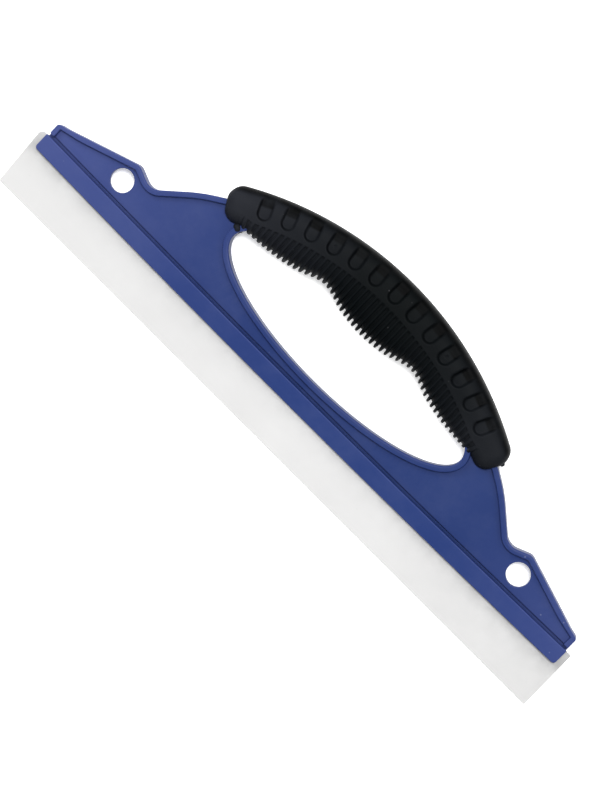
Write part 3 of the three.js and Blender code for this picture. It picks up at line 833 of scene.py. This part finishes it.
# Masks for the paler ends, partly painted light that brightens the ends of the frame and of the grip.
ENDS = ends_group(
    "paler_ends_painted_light",
    [
        (0.0, 1.0), (0.14, 0.62), (0.28, 0.30), (0.40, 0.14), (0.5, 0.09),
        (0.70, 0.05), (0.80, 0.09), (0.92, 0.38), (1.0, 0.55),
    ],
)
GRIP_ENDS = ends_group(
    "paler_grip_ends_painted_light",
    [
        (0.24, 1.0), (0.30, 0.60), (0.37, 0.33), (0.445, 0.06), (0.52, 0.0),
        (0.59, 0.08), (0.66, 0.20), (0.70, 0.36), (0.76, 0.46),
    ],
)
print("node groups:", ", ".join(group.name for group in (GRAIN, DUST, EDGE, ENDS, GRIP_ENDS)))

# %% [markdown]
# ## The finishes
# All the finishes have the same build: a base colour that varies a little, paler ends, a second tone where the edge
# number says, dust on top, and a bump from the grain. The paler ends are partly painted light, and the second tone is a
# painted highlight on the blue and painted shade on the blade and the grip. Only the values differ, so one function
# makes them and each finish sets its own. The blue of the strip is a touch stronger than the blue of the frame.


# %% The finishes
def finish_material(
    name, dark, light, pale, wear_and_painted_light_colour, dust_colour, grain, edge, dust, roughness, bump, ends=ENDS, **shader_values
):
    """Base colour: dark to light by the slow tone, then paler ends, which are partly painted light, the edge tone,
    which is painted highlight and painted shade, and dust. grain is (scale, coarse), dust is (scale, specks, haze),
    roughness is (low, high) and bump is (strength, distance)."""
    material = bpy.data.materials.new(name)
    material.use_nodes = True
    tree = material.node_tree
    tree.nodes.clear()
    grained = add(tree, "ShaderNodeGroup", node_tree=GRAIN)
    grained.inputs["Scale"].default_value, grained.inputs["Coarse"].default_value = grain
    wear_and_painted_light = add(tree, "ShaderNodeGroup", node_tree=EDGE)
    attribute = add(tree, "ShaderNodeAttribute", attribute_name="edge")
    tree.links.new(attribute.outputs["Fac"], wear_and_painted_light.inputs["Edge"])
    wear_and_painted_light.inputs["Amount"].default_value = edge
    dusty = add(tree, "ShaderNodeGroup", node_tree=DUST)
    for label, value in zip(("Scale", "Specks", "Haze"), dust):
        dusty.inputs[label].default_value = value
    paler = add(tree, "ShaderNodeGroup", node_tree=ends)
    colour = ramp(tree, grained.outputs["Tone"], [(0.32, dark), (0.68, light)])
    # The pale and edge layers are painted light: brighter ends, a painted highlight along blue edges, painted shade
    # elsewhere.
    layers = [(paler.outputs["Mask"], pale), (wear_and_painted_light.outputs["Mask"], wear_and_painted_light_colour), (dusty.outputs["Mask"], dust_colour)]
    for mask, shade in layers:
        mixed = add(tree, "ShaderNodeMix", {"Factor": mask, 6: colour, 7: (*shade, 1)}, data_type="RGBA")
        colour = mixed.outputs[2]
    span = {0: grained.outputs["Tone"], 1: 0.3, 2: 0.7, 3: roughness[0], 4: roughness[1]}
    rough = add(tree, "ShaderNodeMapRange", span)
    relief = {"Height": grained.outputs["Height"], "Strength": bump[0], "Distance": bump[1]}
    height = add(tree, "ShaderNodeBump", relief)
    surface = {"Base Color": colour, "Roughness": rough.outputs[0], "Normal": height.outputs[0], **shader_values}
    shader = add(tree, "ShaderNodeBsdfPrincipled", surface)
    output = add(tree, "ShaderNodeOutputMaterial")
    tree.links.new(shader.outputs[0], output.inputs[0])
    return material


# Blue: the pale colour is partly painted light at the ends, and the edge colour is a painted highlight along rounded
# edges that also stands for handling wear.
blue_moulding = finish_material(
    "blue_moulding", (0.0060, 0.0220, 0.108), (0.0075, 0.0245, 0.117), (0.042, 0.060, 0.196), (0.050, 0.070, 0.24),
    (0.30, 0.32, 0.42), grain=(1100.0, 0.35), edge=0.40, dust=(230.0, 0.30, 0.03), roughness=(0.36, 0.46),
    bump=(0.10, 0.0003), **{"Specular IOR Level": 0.14},
)
# The strip's blue has the same painted light at its ends and the same painted highlight along its edges.
blue_strip = finish_material(
    "blue_strip", (0.0072, 0.0250, 0.124), (0.0085, 0.0275, 0.133), (0.042, 0.060, 0.196), (0.050, 0.070, 0.24),
    (0.30, 0.32, 0.42), grain=(1100.0, 0.35), edge=0.40, dust=(230.0, 0.30, 0.03), roughness=(0.36, 0.46),
    bump=(0.10, 0.0003), **{"Specular IOR Level": 0.14},
)
# Rubber: the pale colour is partly painted light on the ends, and the edge colour is painted shade in the grooves, over
# the back and between the ribs.
grip_rubber = finish_material(
    "grip_rubber", (0.0015, 0.0025, 0.0029), (0.0021, 0.0031, 0.0035), (0.018, 0.0195, 0.0250),
    (0.0003, 0.0005, 0.0006), (0.14, 0.14, 0.15), grain=(1500.0, 0.3), edge=1.0, dust=(300.0, 0.30, 0.008),
    roughness=(0.46, 0.58), bump=(0.16, 0.0003), ends=GRIP_ENDS, **{"Specular IOR Level": 0.036},
)
# Silicone: the grey edge colour is painted shade beside the bar and at the blade's right end.
milky_silicone = finish_material(
    "milky_silicone", (0.555, 0.552, 0.550), (0.60, 0.598, 0.596), (0.575, 0.573, 0.570), (0.30, 0.30, 0.30),
    (0.45, 0.45, 0.44), grain=(700.0, 0.6), edge=0.62, dust=(240.0, 0.18, 0.04), roughness=(0.42, 0.55),
    bump=(0.05, 0.0003),
    **{"Subsurface Weight": 0.25, "Subsurface Radius": (1, 1, 1), "Subsurface Scale": 0.002, "IOR": 1.41},
)
zinc_plate = finish_material(
    "zinc_plate", (0.50, 0.52, 0.54), (0.68, 0.69, 0.70), (0.60, 0.61, 0.62), (0.75, 0.76, 0.77), (0.30, 0.29, 0.27),
    grain=(1800.0, 0.5), edge=0.2, dust=(400.0, 0.2, 0.25), roughness=(0.28, 0.45), bump=(0.12, 0.0002),
    **{"Metallic": 1.0},
)
finishes = (blue_moulding, blue_strip, grip_rubber, milky_silicone, zinc_plate)
print("finishes:", ", ".join(material.name for material in finishes))

# %% [markdown]
# ## Dressing the frame
# Each new piece says which solid it stands for, which finish it wears and which body it moves with. The blade
# crosses the joint, so it bends between the two bodies instead of riding on one.


# %% Ride, replace and bend
def dress(piece, material, nodes, body="tool"):
    """Gives a piece its finish, hides the solids that it stands for, and lets it ride on a body."""
    piece.data.materials.clear()
    piece.data.materials.append(material)
    if nodes:
        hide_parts(*nodes)
    if body:
        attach(piece, body)


dress(frame_shell, blue_moulding, ["frame"])
dress(clamp_bar, blue_strip, ["clamp_strip"])
dress(grip, grip_rubber, ["grip"])
dress(flash_left, grip_rubber, [])
dress(flash_right, grip_rubber, [])
for number, screw in enumerate(screws, 1):
    dress(screw, zinc_plate, [f"screw_{number}"])
dress(blade, milky_silicone, ["blade_root", "blade_lip"], body=None)
bend_start, bend_end = on_table([[0, 19.6, 0], [0, 8.0, 0]])
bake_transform(blade, "tool", "lip", start=tuple(bend_start), end=tuple(bend_end))

# %% [markdown]
# ## Table, light and camera
# A plain white table, a soft light high above and four weaker ones round the sides, of which the one at the blade's
# left end is the strongest. The table glows a little, like a lit tabletop, so that the shadows under the ribs stay
# light. The camera looks almost straight down from a metre, a long lens keeps the blade's sides nearly parallel, and
# the tool lies diagonally across the picture.

# %% The table
half_table = 3.0
u, v = np.meshgrid(np.linspace(-half_table, half_table, 13), np.linspace(-half_table, half_table, 13), indexing="ij")
table_mesh = bpy.data.meshes.new("table")
table_mesh.from_pydata(np.stack([u, v, 0 * u], -1).reshape(-1, 3), [], grid_faces(13, 13).tolist())
table = bpy.data.objects.new("table", table_mesh)
bpy.context.scene.collection.objects.link(table)
table_white = finish_material(
    "table_white", (0.96, 0.96, 0.96), (0.98, 0.98, 0.98), (0.97, 0.97, 0.97), (0.96, 0.96, 0.96), (0.93, 0.93, 0.93),
    grain=(300.0, 0.5), edge=0.0, dust=(100.0, 0.0, 0.02), roughness=(0.6, 0.7), bump=(0.02, 0.0003),
    **{"Emission Color": (1, 1, 1, 1), "Emission Strength": 0.4},
)
table_mesh.materials.append(table_white)


# %% The lights
def softbox(name, place, size, power, aim=(0, 0, 0)):
    """A square area light at a place, turned to face its aim."""
    light = bpy.data.lights.new(name, "AREA")
    light.shape, light.size, light.energy = "SQUARE", size, power
    lamp = bpy.data.objects.new(name, light)
    lamp.location = place
    lamp.rotation_euler = (Vector(aim) - Vector(place)).to_track_quat("-Z", "Y").to_euler()
    bpy.context.scene.collection.objects.link(lamp)
    return lamp


softbox("key_left", (-1.0, 0.1, 1.0), 0.7, 7.4)
softbox("key_right", (1.0, 0.1, 1.0), 0.7, 3.4)
softbox("fill_back", (0.1, 1.0, 1.2), 0.7, 3.8)
softbox("fill_front", (0.0, -1.1, 1.0), 0.7, 3.9)
softbox("top", (0.0, 0.3, 2.0), 0.45, 33.0)
world = bpy.data.worlds.new("room")
world.use_nodes = True
world.node_tree.nodes["Background"].inputs["Color"].default_value = (1, 1, 1, 1)
world.node_tree.nodes["Background"].inputs["Strength"].default_value = 0.15
bpy.context.scene.world = world
bpy.context.scene.view_settings.view_transform = "Standard"

# %% The camera
AIM = np.array([0.0, 40.0, 0.0])  # the point in the tool's plane that the lens axis goes through
DISTANCE = 1000.0
SIDE, LIFT, ROLL = 0.05523, math.radians(7.0), math.radians(45.0) - 0.00289
FOCAL, SHIFT_X, SHIFT_Y = 108.2, -0.03095, -0.0368

back = np.array([math.sin(SIDE), math.sin(LIFT), 0.0])
back[2] = math.sqrt(1 - back @ back)
right = np.array([math.cos(ROLL), math.sin(ROLL), 0.0])
right -= back * (right @ back)
right /= np.linalg.norm(right)
up = np.cross(back, right)
eye = on_table(AIM + DISTANCE * back)
camera_data = bpy.data.cameras.new("camera")
camera = bpy.data.objects.new("camera", camera_data)
columns = np.stack([TURN @ right, TURN @ up, TURN @ back], 1)
camera.matrix_world = Matrix([[*columns[i], eye[i]] for i in range(3)] + [[0, 0, 0, 1]])
camera_data.sensor_width, camera_data.lens = 36.0, FOCAL
camera_data.shift_x, camera_data.shift_y = SHIFT_X, SHIFT_Y
camera_data.clip_start, camera_data.clip_end = 0.05, 20.0
bpy.context.scene.collection.objects.link(camera)
bpy.context.scene.camera = camera
print("camera at", np.round(eye, 3))
